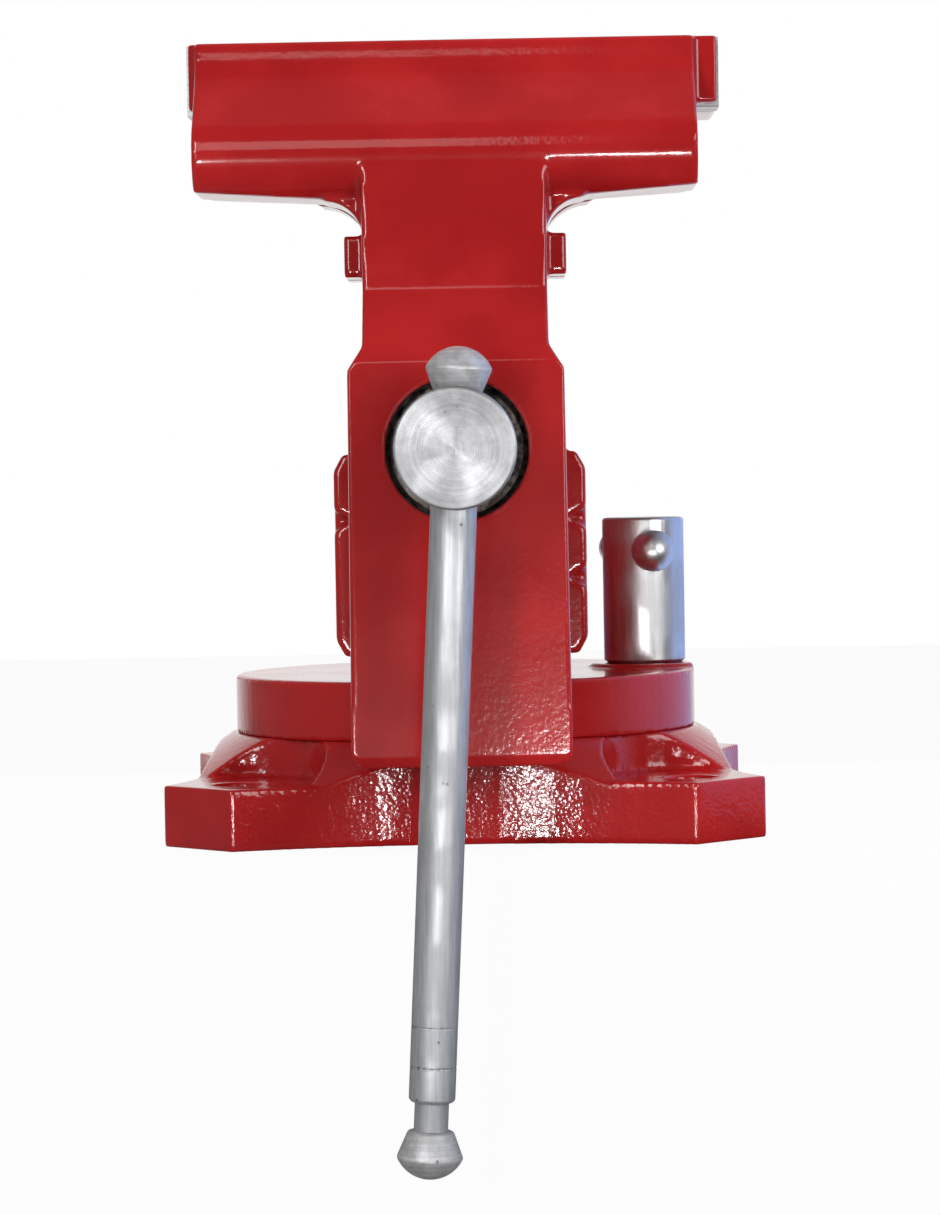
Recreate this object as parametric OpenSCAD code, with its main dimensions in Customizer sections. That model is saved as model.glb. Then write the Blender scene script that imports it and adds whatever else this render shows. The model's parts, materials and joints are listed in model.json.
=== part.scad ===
// Bench vise with a swivel base: sliding front jaw, coupled spindle, loose handle and a lock bolt.
// The origin is the centre of the base's underside, on the swivel axis. The front jaw faces -Y.

/* [Swivel base] */
// Height of the base from the bench to its rim
base_h = 21.7; // [20:0.1:30]
// Radius of the base's rim
base_rim_r = 52.8; // [52.4:0.1:56]
// Distance from the centre to the flats that cut the lug tips, along X and Y
lug_reach = 64.9; // [62:0.1:72]
// Distance from the centre to the corner of a lug tip on the other axis
lug_corner = 49.4; // [46:0.1:54]
// Thickness of a lug
lug_t = 13.2; // [11:0.1:15]
// Depth of the hollow curve between two lugs
side_hollow = 8.9; // [6:0.1:10]
// Distance from the centre to each bolt hole, along X and Y
bolt_pitch_half = 48.5; // [46:0.1:52]
// Diameter of the bench bolt holes
bolt_hole_d = 10.5; // [8:0.1:12]
// Radius of the wrench pocket over each lug
pocket_r = 17; // [14:0.1:18]
// Distance from the centre to each wrench pocket's axis, along the lug
pocket_out = 66.5; // [66:0.1:72]
// Width of the tee groove's opening
groove_w = 9; // [8.6:0.1:10]
// Width of the tee groove's wide part
groove_wide = 17; // [16:0.1:18]
// Height of the tee groove's wide part
groove_h = 7.4; // [7:0.1:8]
// Thickness of the base under the tee groove
base_floor = 3.4; // [3:0.1:4]

/* [Turntable and barrel] */
// Radius of the turntable
turn_r = 52; // [48:0.1:52.2]
// Thickness of the turntable
turn_t = 12.9; // [11:0.1:14]
// Width of the barrel that holds the sliding beam
barrel_w = 46; // [46:0.1:48]
// Length of the barrel behind the swivel axis
barrel_back = 54; // [50:0.5:62]
// Wall of the barrel above and below the beam
barrel_wall = 5; // [4:0.1:7]
// Width over the side pads of the barrel's collar
pad_span = 54.5; // [52:0.1:58]
// Length of the barrel's collar along the beam
collar_len = 20; // [14:0.5:24]
// Height of the lock boss above the turntable
boss_h = 1; // [0.8:0.1:4]

/* [Jaws] */
// Width of the jaws
jaw_w = 114.3; // [106:0.1:125]
// Height of the jaw plates
plate_h = 15; // [13:0.1:16]
// Thickness of a jaw plate
plate_t = 5; // [4:0.1:6]
// Distance from the swivel axis forward to the line where the jaws meet
jaw_line = 40; // [38:0.5:42]
// Widest opening between the jaws
jaw_opening = 100; // [60:1:100]
// Width of the front jaw's rounded nose
nose_w = 106.4; // [100:0.1:110]
// How far the nose lies left of the middle
nose_shift = 1.7; // [0:0.1:3]
// Height of the jaw tops above the spindle axis
jaw_rise = 87.7; // [84:0.1:92]
// Depth of the jaw wings, from their tops to their undersides
wing_depth = 34.9; // [32:0.1:36]
// Radius of the front jaw's nose
nose_r = 10; // [8:0.1:11]
// Distance from the front casting's face back to the nose
nose_back = 13; // [10:0.1:14]
// Radius of the fillet between a wing and the neck
wing_fillet = 8; // [6:0.5:10]
// Depth of the front jaw plate's flange in front of the plate
flange_t = 4; // [3:0.1:5]
// Width of the necks under the jaws
neck_w = 38.8; // [38:0.1:42]
// Depth of the rear neck, front to back
rear_neck_t = 30; // [26:0.5:34]
// Width of the pipe jaws cast on the necks
pipe_w = 47.5; // [44:0.1:50]
// Height of the pipe jaws
pipe_h = 8.8; // [8:0.1:12]

/* [Front casting] */
// Height of the spindle axis above the turntable
axis_rise = 49.7; // [49:0.1:55]
// Distance from the swivel axis forward to the front casting's face
front_face = 80; // [78:0.5:86]
// Width of the front casting at the spindle
front_w = 45; // [44:0.1:46]
// Thickness of the front skirt
skirt_t = 20; // [18:0.5:20]
// Height of the skirt's lower edge above the bench
skirt_low = 18.3; // [18:0.1:20]
// Width of the sliding beam
beam_w = 36; // [34:0.1:36]
// Wall of the sliding beam
beam_wall = 4.5; // [4:0.1:5]
// Length of the sliding beam behind the swivel axis
beam_back = 95; // [92:0.5:100]
// Sliding clearance around the beam
slide_gap = 0.3; // [0.2:0.05:0.4]

/* [Spindle] */
// Diameter of the spindle
spindle_d = 15; // [14:0.1:16]
// Lead of the spindle's thread
lead = 5; // [4:0.5:6]
// Diameter of the spindle's head
head_d = 24.8; // [23:0.1:26]
// How far the head stands in front of the front casting's face
head_out = 30; // [28:0.5:34]
// Distance from the head's face back to the handle's hole
handle_back = 12; // [11:0.1:14]
// Diameter of the counterbore around the head
counterbore_d = 29.6; // [28:0.1:31]
// Depth of the counterbore
counterbore_t = 7; // [5:0.1:9]
// Thickness of the thrust washer
washer_t = 2; // [1.5:0.1:3]
// Length of the spindle's nut
nut_len = 26; // [22:0.5:26]

/* [Handle] */
// Diameter of the handle bar
bar_d = 9.5; // [8.5:0.1:10]
// Length of the handle bar between its two shoulders
bar_len = 137.5; // [120:0.5:150]
// Diameter of the turned neck at each end of the bar
bar_neck_d = 7; // [6:0.1:8]
// Length of the turned neck at each end of the bar
bar_neck_len = 6; // [4:0.1:7]
// Widest diameter of a handle knob
knob_d = 13.6; // [12.6:0.1:15]
// Diameter of a handle knob where it starts
knob_base_d = 9.4; // [8.8:0.1:10]
// Height of a handle knob's cone
knob_cone_h = 5.4; // [4:0.1:7]
// Height of a handle knob's dome
knob_dome_h = 4.5; // [3:0.1:5]
// Angle of the handle at rest, from upright
handle_tilt = 3.1; // [0:0.1:10]

/* [Swivel lock] */
// Distance from the swivel axis to the lock bolt
lock_r = 41.2; // [41:0.1:43]
// Direction of the lock bolt from the swivel axis
lock_angle = 5; // [0:1:10]
// Diameter of the lock bolt's head
lock_d = 18.5; // [17:0.1:20]
// Height of the lock bolt's head
lock_h = 33; // [28:0.5:38]
// Height of the cross bar above the foot of the lock bolt's head
lock_bar_h = 25.5; // [20:0.5:27]
// Diameter of the lock bolt's thread
lock_thread_d = 8; // [7:0.1:8]
// Diameter of the cross bar
cross_d = 6; // [5:0.1:7]
// Length of the cross bar between its knobs
cross_len = 36; // [32:0.5:42]
// Diameter of the cross bar's knobs
cross_knob_d = 9.3; // [8.5:0.1:10]
// Angle of the cross bar at rest, from straight forward
cross_turn = 9; // [0:1:12]

/* [Hidden] */
$fn = 64;
clearance = 0.3;
running_fit = 0.05;

// Heights
turn_top = base_h + turn_t;
axis_z = turn_top + axis_rise;
jaw_top = axis_z + jaw_rise;
wing_low = jaw_top - wing_depth;
plate_low = jaw_top - plate_h;
beam_top = axis_z + 15.7;
beam_low = axis_z - 24.3;
tunnel_top = beam_top + slide_gap;
tunnel_low = beam_low - slide_gap;
barrel_top = tunnel_top + barrel_wall;
barrel_low = tunnel_low - barrel_wall;
boss_top = turn_top + boss_h;
shoulder_z = axis_z + 21.5;
shoulder_h = 5;
crease_z = axis_z + 33.4;
overhang_z = boss_top + 1;

// Places along Y, front to back
face_y = -front_face;
head_y = face_y - head_out;
handle_y = head_y + handle_back;
seat_y = face_y + counterbore_t;
plate_front_y = -jaw_line - plate_t;
plate_back_y = -jaw_line + plate_t;
casting_back_y = plate_front_y;
barrel_front_y = casting_back_y + 2 * clearance;
skirt_back_y = face_y + skirt_t;
wall_t = 24;
wall_back_y = face_y + wall_t;
spring_len = 9.4;
spring_wire_d = 1.8;
spring_bore = spindle_d + 1;
spring_washer_t = 1.4;
spring_washer_d = spring_bore + 2 * spring_wire_d + 1.6;
pin_d = 2.4;
pin_over = 3.2;
pin_y = wall_back_y + spring_len + spring_washer_t + pin_d / 2 + 0.1;
nut_room = 4.2;
nut_y = pin_y + nut_room;
thread_spare = 10;
thread_end_y = nut_y + jaw_opening + nut_len + thread_spare;

// Width of the flange in front of the jaw plate, and how far the rear wings lie above the front ones
flange_w = jaw_w - 1.2;
rear_lift = 0.6;

// Jaw plate screws
screw_x = jaw_w / 2 - 21.15;
screw_d = 6;
screw_head_d = 11;
screw_head_t = 3;
screw_len = 9;
screw_hole_end = 0.6;
plate_mid_z = jaw_top - plate_h / 2;

// Pivot
pivot_d = 12;
pivot_head_d = 19;
pivot_head_t = 6.4;
pivot_washer_d = 25;
pivot_washer_t = 2;
pivot_recess_d = pivot_washer_d + 2;
pivot_recess_h = pivot_head_t + pivot_washer_t + 0.6;
pivot_depth = 26;

// Nut and its bolt
nut_r = 10.6;
nut_foot_w = 18;
nut_bolt_d = 8;
nut_bolt_head_d = 13;
nut_bolt_head_t = 5;
nut_bolt_depth = 12;
nut_bolt_y = nut_y + nut_len / 2;
nut_pocket_d = 18;
nut_pocket_top = tunnel_low - 8;

// Lock
lock_x = lock_r * cos(lock_angle);
lock_y = lock_r * sin(lock_angle);
boss_r = lock_d / 2 + 3;
tee_h = groove_h - 0.8;
tee_w = groove_wide - 2;
tee_neck_h = 4;
cross_z = boss_top + lock_bar_h;
cross_knob_len = 7;

// Side pads: heights of their ends and of the notches in their front edges, from the spindle axis
pad_low = -44.3;
pad_top = -0.6;
pad_taper = 3.6;
notch_depth = 3.5;
notch_half = 2.8;
notches_left = [-14.9];
notches_right = [-27.8, -14.9];

// Foot of the barrel on the turntable
foot_front_y = -jaw_line - 1;
foot_back_y = barrel_back - 11;
foot_r = 9;

// Points along an arc, from angle a0 to a1
function arc(x, y, r, a0, a1, n = 8) =
    [for (i = [0:n]) [x + r * cos(a0 + (a1 - a0) * i / n), y + r * sin(a0 + (a1 - a0) * i / n)]];

// A rectangle with round corners, as points
function round_box(w, h, r) = concat(
    arc(w / 2 - r, h / 2 - r, r, 0, 90, 4), arc(-w / 2 + r, h / 2 - r, r, 90, 180, 4),
    arc(-w / 2 + r, -h / 2 + r, r, 180, 270, 4), arc(w / 2 - r, -h / 2 + r, r, 270, 360, 4));

// A profile drawn as (y, z), swept along X
module span_x(x0, x1) {
    translate([x0, 0, 0]) rotate([90, 0, 90]) linear_extrude(x1 - x0) children();
}

// A profile drawn as (x, z), swept along Y
module span_y(y0, y1) {
    translate([0, y1, 0]) rotate([90, 0, 0]) linear_extrude(y1 - y0) children();
}

// A round bar or bore along Y
module rod_y(d, y0, y1, x = 0, z = 0) {
    translate([x, y1, z]) rotate([90, 0, 0]) cylinder(d = d, h = y1 - y0);
}

// Copies at the four lugs
module at_lugs() {
    for (a = [45:90:315]) rotate(a) children();
}

// ---------------------------------------------------------------- swivel base

// One side of the foot's outline, from lug to lug, hollowed by a shallow arc
function foot_side() =
    let (r = (lug_corner * lug_corner + side_hollow * side_hollow) / (2 * side_hollow),
         half = asin(lug_corner / r))
    arc(0, -lug_reach + side_hollow - r, r, 90 + half, 90 - half, 16);

function turned(points, a) =
    [for (p = points) [p[0] * cos(a) - p[1] * sin(a), p[0] * sin(a) + p[1] * cos(a)]];

module foot_outline() {
    polygon([for (a = [0:90:270]) each turned(foot_side(), a)]);
}

// Drum of the base, flaring out over the lugs, with a wrench pocket cut down to each lug
module base_drum() {
    flare_out = 13.1;
    flare_run = flare_out / (base_h - lug_t);
    low = lug_t / 2;
    difference() {
        intersection() {
            linear_extrude(base_h) foot_outline();
            translate([0, 0, low])
                cylinder(r1 = base_rim_r + flare_run * (base_h - low), r2 = base_rim_r, h = base_h - low);
        }
        at_lugs() translate([pocket_out, 0, -1]) cylinder(r = pocket_r, h = base_h + 2);
    }
}

module swivel_base() {
    color("firebrick") difference() {
        union() {
            linear_extrude(lug_t) foot_outline();
            base_drum();
        }
        tee_groove();
        at_lugs() translate([bolt_pitch_half * sqrt(2), 0, -1])
            cylinder(d = bolt_hole_d, h = lug_t + 2);
        translate([0, 0, -1]) cylinder(d = pivot_d + 2 * clearance, h = base_h + 2);
        translate([0, 0, -1]) cylinder(d = pivot_recess_d, h = pivot_recess_h + 1);
    }
}

// Ring-shaped groove in which the tee nut runs
module tee_groove() {
    rotate_extrude() {
        translate([lock_r - groove_wide / 2, base_floor]) square([groove_wide, groove_h]);
        translate([lock_r - groove_w / 2, base_floor]) square([groove_w, base_h]);
    }
}

module pivot_washer() {
    color("silver") translate([0, 0, pivot_recess_h - pivot_washer_t]) difference() {
        cylinder(d = pivot_washer_d, h = pivot_washer_t);
        translate([0, 0, -1]) cylinder(d = pivot_d + 2 * clearance, h = pivot_washer_t + 2);
    }
}

module pivot_bolt() {
    head_top = pivot_recess_h - pivot_washer_t;
    color("silver") {
        translate([0, 0, head_top - pivot_head_t]) cylinder(d = pivot_head_d, h = pivot_head_t, $fn = 6);
        translate([0, 0, head_top - 1]) cylinder(d = pivot_d, h = base_h + pivot_depth - head_top);
    }
}

// ---------------------------------------------------------------- vise body

// Outline of the barrel's front view: straight sides, chamfered top corners
module barrel_outline() {
    c = 4;
    w = barrel_w / 2;
    polygon([[-w, barrel_low], [w, barrel_low], [w, barrel_top - c], [w - c, barrel_top],
        [-w + c, barrel_top], [-w, barrel_top - c]]);
}

// One side pad in the front view: a rib with tapered ends
module pad(side) {
    w = pad_span / 2;
    in = barrel_w / 2 - 2;
    z0 = axis_z + pad_low;
    z1 = axis_z + pad_top;
    polygon([[side * in, z0], [side * (w - 2), z0], [side * w, z0 + pad_taper], [side * w, z1 - pad_taper],
        [side * (w - 2), z1], [side * in, z1]]);
}

// A notch in the front edge of a pad, drawn as (x, z): a V with its tip at the barrel's side
module notch(side, z) {
    tip = barrel_w / 2 + 0.4;
    mouth = pad_span / 2 + 1;
    polygon([[side * tip, z], [side * mouth, z + notch_half], [side * mouth, z - notch_half]]);
}

// Wings of the rear jaw seen from the side, drawn as (y, z)
module rear_wing_profile() {
    back = -jaw_line + 28;
    polygon(concat(
        [[plate_back_y, jaw_top], [plate_back_y, plate_low], [-jaw_line + 1, plate_low],
         [-jaw_line + 1, wing_low + rear_lift], [-jaw_line + 9, wing_low + 2], [back - 6, wing_low + 9]],
        arc(back - 8, wing_low + 17, 8, -60, 0, 5),
        arc(back - 10, jaw_top - 10, 10, 0, 90, 5)));
}

// Nose and wings seen from the front, drawn as (x, z): the undersides rise towards the tips
module wing_outline(shrink = 0) {
    rise = 2.2;
    n = neck_w / 2;
    l = -nose_w / 2 - nose_shift + shrink;
    r = nose_w / 2 - nose_shift - shrink;
    polygon([[l, jaw_top], [l, wing_low + rise], [-n, wing_low], [n, wing_low],
        [r, wing_low + rise], [r, jaw_top]]);
}

// Corner piece between a wing and its neck, drawn as (x, z) on the right side
module fillet_profile(neck_half, r) {
    translate([neck_half - 1, wing_low + 1]) mirror([0, 1]) difference() {
        square([r + 1, r + 1]);
        translate([r + 1, r + 1]) circle(r = r);
    }
}

module wing_fillets(neck_half, r) {
    for (s = [0, 1]) mirror([s, 0]) fillet_profile(neck_half, r);
}

// Pipe jaw cast on a neck, drawn as (y, z); it faces +Y and ends at the jaw line
module pipe_profile(root_y, tip_y) {
    mid = crease_z + pipe_h / 2 + 3.8;
    bite = (tip_y - root_y) * 0.6;
    polygon([[root_y, mid - pipe_h / 2], [tip_y, mid - pipe_h / 2], [tip_y - bite, mid],
        [tip_y, mid + pipe_h / 2], [root_y, mid + pipe_h / 2]]);
}

module body_casting() {
    neck_half = neck_w / 2 - 1;
    rear_neck_front = -jaw_line + 4.6;
    color("firebrick") difference() {
        union() {
            translate([0, 0, base_h]) cylinder(r = turn_r, h = turn_t);
            lock_boss();
            translate([0, (foot_front_y + foot_back_y) / 2, turn_top - 1])
                linear_extrude(barrel_low - turn_top + 3)
                    polygon(round_box(barrel_w, foot_back_y - foot_front_y, foot_r));
            span_y(barrel_front_y, barrel_back) barrel_outline();
            difference() {
                span_y(barrel_front_y, barrel_front_y + collar_len) pads();
                span_y(barrel_front_y - 1, barrel_front_y + notch_depth) pad_notches();
            }
            span_y(rear_neck_front, rear_neck_front + rear_neck_t)
                translate([-neck_half, barrel_top - 1]) square([2 * neck_half, wing_low + 12 - barrel_top]);
            intersection() {
                span_x(-jaw_w / 2, jaw_w / 2) rear_wing_profile();
                span_y(-jaw_line - 1, 0) {
                    translate([0, rear_lift]) wing_outline(1);
                    translate([-jaw_w / 2, plate_low]) square([jaw_w, plate_h + 1]);
                }
            }
            span_y(-jaw_line + 1, -jaw_line + 14) translate([0, rear_lift]) wing_fillets(neck_half, wing_fillet + 3);
            span_x(-pipe_w / 2, pipe_w / 2) mirror([1, 0]) pipe_profile(jaw_line - 12, jaw_line - 0.4);
            anvil();
        }
        // Tunnel for the sliding beam
        span_y(barrel_front_y - 1, barrel_back + 1)
            translate([-beam_w / 2 - slide_gap, tunnel_low])
                square([beam_w + 2 * slide_gap, tunnel_top - tunnel_low]);
        translate([0, 0, base_h - 1]) cylinder(d = pivot_d + 2 * running_fit, h = pivot_depth + 1);
        translate([0, nut_bolt_y, base_h - 1]) cylinder(d = nut_pocket_d, h = nut_pocket_top - base_h + 1);
        translate([0, nut_bolt_y, base_h]) cylinder(d = nut_bolt_d + 2 * running_fit, h = tunnel_low);
        translate([lock_x, lock_y, base_h - 1])
            cylinder(d = lock_thread_d + 2 * clearance, h = boss_top - base_h + 2);
        plate_screw_holes(plate_back_y - 1, screw_len - plate_t + 1.4 + screw_hole_end);
    }
}

// Raised seat of the lock bolt, cut off at the turntable's edge
module lock_boss() {
    intersection() {
        translate([lock_x, lock_y, base_h + 1]) cylinder(r = boss_r, h = boss_top - base_h - 1);
        translate([0, 0, base_h]) cylinder(r = turn_r - clearance, h = turn_t + 2 * boss_h);
    }
}

module pads() {
    pad(-1);
    pad(1);
}

module pad_notches() {
    for (z = notches_left) notch(-1, axis_z + z);
    for (z = notches_right) notch(1, axis_z + z);
}

// Flat pad behind the rear jaw
module anvil() {
    anvil_h = 7;
    anvil_len = 34;
    anvil_w = 34;
    translate([-anvil_w / 2, barrel_back - anvil_len - 2, barrel_top - 1])
        cube([anvil_w, anvil_len, anvil_h + 1]);
}

// Threaded holes for the two screws of a jaw plate, along +Y from y0
module plate_screw_holes(y0, depth) {
    for (x = [-screw_x, screw_x]) rod_y(screw_d + 2 * running_fit, y0, y0 + depth, x, plate_mid_z);
}

// Jaw plate between y0 and y0 + plate_t; its countersinks open towards +Y, or towards -Y if back is true
module jaw_plate(y0, back) {
    sink = 2 * clearance;
    color("silver") difference() {
        translate([-jaw_w / 2, y0, plate_low]) cube([jaw_w, plate_t, plate_h]);
        for (x = [-screw_x, screw_x]) {
            rod_y(screw_d + 2 * clearance, y0 - 1, y0 + plate_t + 1, x, plate_mid_z);
            rod_y(screw_head_d + sink, back ? y0 - 1 : y0 + plate_t - screw_head_t - 0.4,
                back ? y0 + screw_head_t + 0.4 : y0 + plate_t + 1, x, plate_mid_z);
        }
    }
}

// Two socket screws; the heads' faces lie at y0 and the shanks run along dir
module jaw_screws(y0, dir) {
    for (x = [-screw_x, screw_x]) translate([x, y0, plate_mid_z]) rotate([-90 * dir, 0, 0]) difference() {
        union() {
            cylinder(d = screw_head_d, h = screw_head_t);
            cylinder(d = screw_d, h = screw_len);
        }
        translate([0, 0, -1]) cylinder(d = 4.6, h = 3.4, $fn = 6);
    }
}

module rear_jaw_plate() jaw_plate(-jaw_line, true);

module rear_jaw_screws() color("dimgray") jaw_screws(-jaw_line + 0.4, 1);

module spindle_nut() {
    color("gray") difference() {
        union() {
            rod_y(2 * nut_r, nut_y, nut_y + nut_len, 0, axis_z);
            translate([-nut_foot_w / 2, nut_y, tunnel_low])
                cube([nut_foot_w, nut_len, axis_z - tunnel_low - 2]);
        }
        rod_y(spindle_d + 2 * running_fit, nut_y - 1, nut_y + nut_len + 1, 0, axis_z);
        translate([0, nut_bolt_y, tunnel_low - 1])
            cylinder(d = nut_bolt_d + 2 * running_fit, h = nut_bolt_depth + 2);
    }
}

module nut_bolt() {
    color("silver") translate([0, nut_bolt_y, 0]) {
        translate([0, 0, nut_pocket_top - nut_bolt_head_t])
            cylinder(d = nut_bolt_head_d, h = nut_bolt_head_t, $fn = 6);
        translate([0, 0, nut_pocket_top - 1])
            cylinder(d = nut_bolt_d, h = tunnel_low + nut_bolt_depth - nut_pocket_top);
    }
}

// ---------------------------------------------------------------- front jaw

// Nose and wings seen from the side, drawn as (y, z): sloping front, round nose, rolled underside
module wing_profile() {
    nose_y = face_y + nose_back;
    face_top = casting_back_y - flange_t - 3.5;
    polygon(concat(
        [[casting_back_y, jaw_top], [casting_back_y, plate_low], [-jaw_line - 1.6, plate_low],
         [-jaw_line - 1.6, wing_low + 0.4], [-jaw_line - 6, wing_low]],
        arc(nose_y + nose_r, wing_low + nose_r, nose_r, -90, -215, 12),
        [[face_top - 4.2, jaw_top - 10.8], [face_top - 1.4, jaw_top - 7.6], [face_top, jaw_top - 4.8],
         [face_top + 0.8, jaw_top - 1], [face_top + 1.8, jaw_top]]));
}

// Neck and wall seen from the side, drawn as (y, z)
module wall_profile() {
    neck_face = face_y + nose_back + 0.4;
    polygon([[casting_back_y, jaw_top - 18], [casting_back_y, overhang_z], [skirt_back_y, overhang_z],
        [skirt_back_y, skirt_low], [face_y + 1, skirt_low], [face_y, skirt_low + 2],
        [face_y, shoulder_z - 3], [neck_face - 1.6, crease_z], [neck_face, wing_low + nose_r],
        [neck_face + 6, jaw_top - 18]]);
}

// Neck, shoulders and body seen from the front, drawn as (x, z)
module wall_outline() {
    n = neck_w / 2;
    w = front_w / 2;
    low = w + 0.5;
    r = 3;
    polygon(concat(
        [[n, jaw_top], [n, shoulder_z], [w, shoulder_z - shoulder_h]],
        arc(low - r, skirt_low + r, r, 0, -90, 4),
        arc(-low + r, skirt_low + r, r, -90, -180, 4),
        [[-w, shoulder_z - shoulder_h], [-n, shoulder_z], [-n, jaw_top]]));
}

module beam_outline() {
    w = beam_w / 2;
    polygon([[-w, beam_low], [-w, beam_top], [w, beam_top], [w, beam_low], [w - beam_wall, beam_low],
        [w - beam_wall, beam_top - beam_wall], [-w + beam_wall, beam_top - beam_wall], [-w + beam_wall, beam_low]]);
}

module front_jaw_casting() {
    inner = beam_w / 2 - beam_wall;
    color("firebrick") difference() {
        union() {
            intersection() {
                span_x(-jaw_w, jaw_w) wing_profile();
                span_y(face_y, 0) wing_outline();
            }
            intersection() {
                span_x(-jaw_w, jaw_w) wall_profile();
                span_y(face_y - 1, 0) wall_outline();
            }
            span_y(face_y + 18, -jaw_line - 3) wing_fillets(neck_w / 2, wing_fillet);
            translate([-flange_w / 2, casting_back_y - flange_t, plate_low + 0.7])
                cube([flange_w, flange_t, plate_h - 0.7]);
            span_x(-pipe_w / 2, pipe_w / 2) pipe_profile(-jaw_line - 12, -jaw_line - 0.4);
            span_y(casting_back_y - 4, beam_back) beam_outline();
        }
        // Space inside the casting behind the front wall, open to the beam's channel
        span_y(wall_back_y, casting_back_y + 1)
            translate([-inner, beam_low - 1]) square([2 * inner, beam_top - beam_wall - beam_low + 1]);
        // Hollow of the skirt
        span_y(face_y + 7, skirt_back_y + 1)
            translate([-inner, skirt_low - 1]) square([2 * inner, axis_z - 24 - skirt_low]);
        span_y(face_y + 7, casting_back_y + 1)
            translate([-inner, overhang_z + 6]) square([2 * inner, axis_z - 24 - overhang_z - 7]);
        rod_y(spindle_d + 2 * clearance, seat_y - 1, wall_back_y + 1, 0, axis_z);
        rod_y(counterbore_d, face_y - 1, seat_y, 0, axis_z);
        plate_screw_holes(-jaw_line - 0.4 - screw_len - screw_hole_end, screw_len - plate_t + 2);
    }
}

module front_jaw_plate() jaw_plate(plate_front_y, false);

module front_jaw_screws() color("dimgray") jaw_screws(-jaw_line - 0.4, -1);

module thrust_washer() {
    color("dimgray") difference() {
        rod_y(counterbore_d - 2, seat_y - washer_t, seat_y, 0, axis_z);
        rod_y(spindle_d + 2 * clearance, seat_y - washer_t - 1, seat_y + 1, 0, axis_z);
    }
}

// ---------------------------------------------------------------- spindle and handle

// Half section of the spindle, drawn as (radius, distance behind the head's face)
module spindle_section() {
    r = spindle_d / 2;
    groove = 1.6;
    seat = seat_y - washer_t - head_y;
    first = pin_y + 4 - head_y;
    last = thread_end_y - head_y - 3;
    turns = floor((last - first) / lead);
    polygon(concat(
        [[0, 0], [head_d / 2 - 1, 0], [head_d / 2, 1], [head_d / 2, seat], [r, seat]],
        [for (i = [0:turns - 1], p = [[r, 0], [r, 0.35], [r - groove, 0.5], [r - groove, 0.85]])
            [p[0], first + (i + p[1]) * lead]],
        [[r, first + turns * lead], [r, last], [r - 2, last + 3], [0, last + 3]]));
}

// Moves children from the handle's own frame, with its axis along Z, to its place in the head
module in_handle_frame() {
    translate([0, handle_y, axis_z]) rotate([0, handle_tilt, 0]) children();
}

module spindle_screw() {
    hole_d = bar_d + 0.8;
    color("silver") difference() {
        translate([0, head_y, axis_z]) rotate([-90, 0, 0]) rotate_extrude() spindle_section();
        in_handle_frame() {
            cylinder(d = hole_d, h = head_d * 2, center = true);
            for (s = [0, 1]) mirror([0, 0, s]) translate([0, 0, head_d / 2 - 2.4])
                cylinder(d1 = hole_d, d2 = hole_d + 5, h = 3);
        }
        translate([0, pin_y, axis_z]) cylinder(d = pin_d + 2 * running_fit, h = spindle_d * 2, center = true);
    }
}

// Compression spring behind the front wall: a round wire swept along a helix
module spindle_spring() {
    wire_r = spring_wire_d / 2;
    coil_r = spring_bore / 2 + wire_r;
    turns = 4;
    steps = 20;
    sides = 8;
    rings = turns * steps;
    y0 = wall_back_y + wire_r + 0.1;
    rise = spring_len - 2 * wire_r - 0.2;
    points = [for (i = [0:rings], k = [0:sides - 1])
        let (a = 360 * i / steps, b = 360 * k / sides, rr = coil_r + wire_r * cos(b))
        [rr * cos(a), y0 + rise * i / rings + wire_r * sin(b), axis_z + rr * sin(a)]];
    walls = [for (i = [0:rings - 1], k = [0:sides - 1])
        let (a = i * sides + k, b = i * sides + (k + 1) % sides)
        [a, a + sides, b + sides, b]];
    ends = [[for (k = [0:sides - 1]) k], [for (k = [sides - 1:-1:0]) rings * sides + k]];
    color("silver") polyhedron(points = points, faces = concat(walls, ends));
}

module spring_washer() {
    y0 = wall_back_y + spring_len;
    color("silver") difference() {
        rod_y(spring_washer_d, y0, y0 + spring_washer_t, 0, axis_z);
        rod_y(spindle_d + 2 * clearance, y0 - 1, y0 + spring_washer_t + 1, 0, axis_z);
    }
}

module retaining_pin() {
    color("silver") translate([0, pin_y, axis_z]) cylinder(d = pin_d, h = spindle_d + 2 * pin_over, center = true);
}

// Distance from the spindle axis to the base of the upper knob, at rest
knob_seat = head_d / 2 - 1.6;

module handle_bar() {
    top = knob_seat - bar_neck_len;
    color("silver") in_handle_frame() {
        translate([0, 0, top - bar_len]) cylinder(d = bar_d, h = bar_len);
        translate([0, 0, top - 1]) cylinder(d = bar_neck_d, h = bar_neck_len + 1);
        translate([0, 0, top - bar_len - bar_neck_len]) cylinder(d = bar_neck_d, h = bar_neck_len + 1);
    }
}

// Half outline of a dome of radius r and height h that stands at height z, from its edge to its top
function dome(r, h, z) =
    let (ball = (r * r + h * h) / (2 * h))
    [for (i = [0:8]) let (a = asin(r / ball) * (1 - i / 8)) [ball * sin(a), z + h - ball + ball * cos(a)]];

// Handle knob with its base at z = 0, pointing up: a cone, then a dome
module handle_knob() {
    rotate_extrude() polygon(concat([[0, 0], [knob_base_d / 2, 0]],
        dome(knob_d / 2, knob_dome_h, knob_cone_h)));
}

module handle_knob_upper() {
    color("silver") in_handle_frame() translate([0, 0, knob_seat]) handle_knob();
}

module handle_knob_lower() {
    color("silver") in_handle_frame()
        translate([0, 0, knob_seat - bar_len - 2 * bar_neck_len]) mirror([0, 0, 1]) handle_knob();
}

// ---------------------------------------------------------------- swivel lock

module in_lock_frame() {
    translate([lock_x, lock_y, 0]) rotate(cross_turn) children();
}

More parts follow.
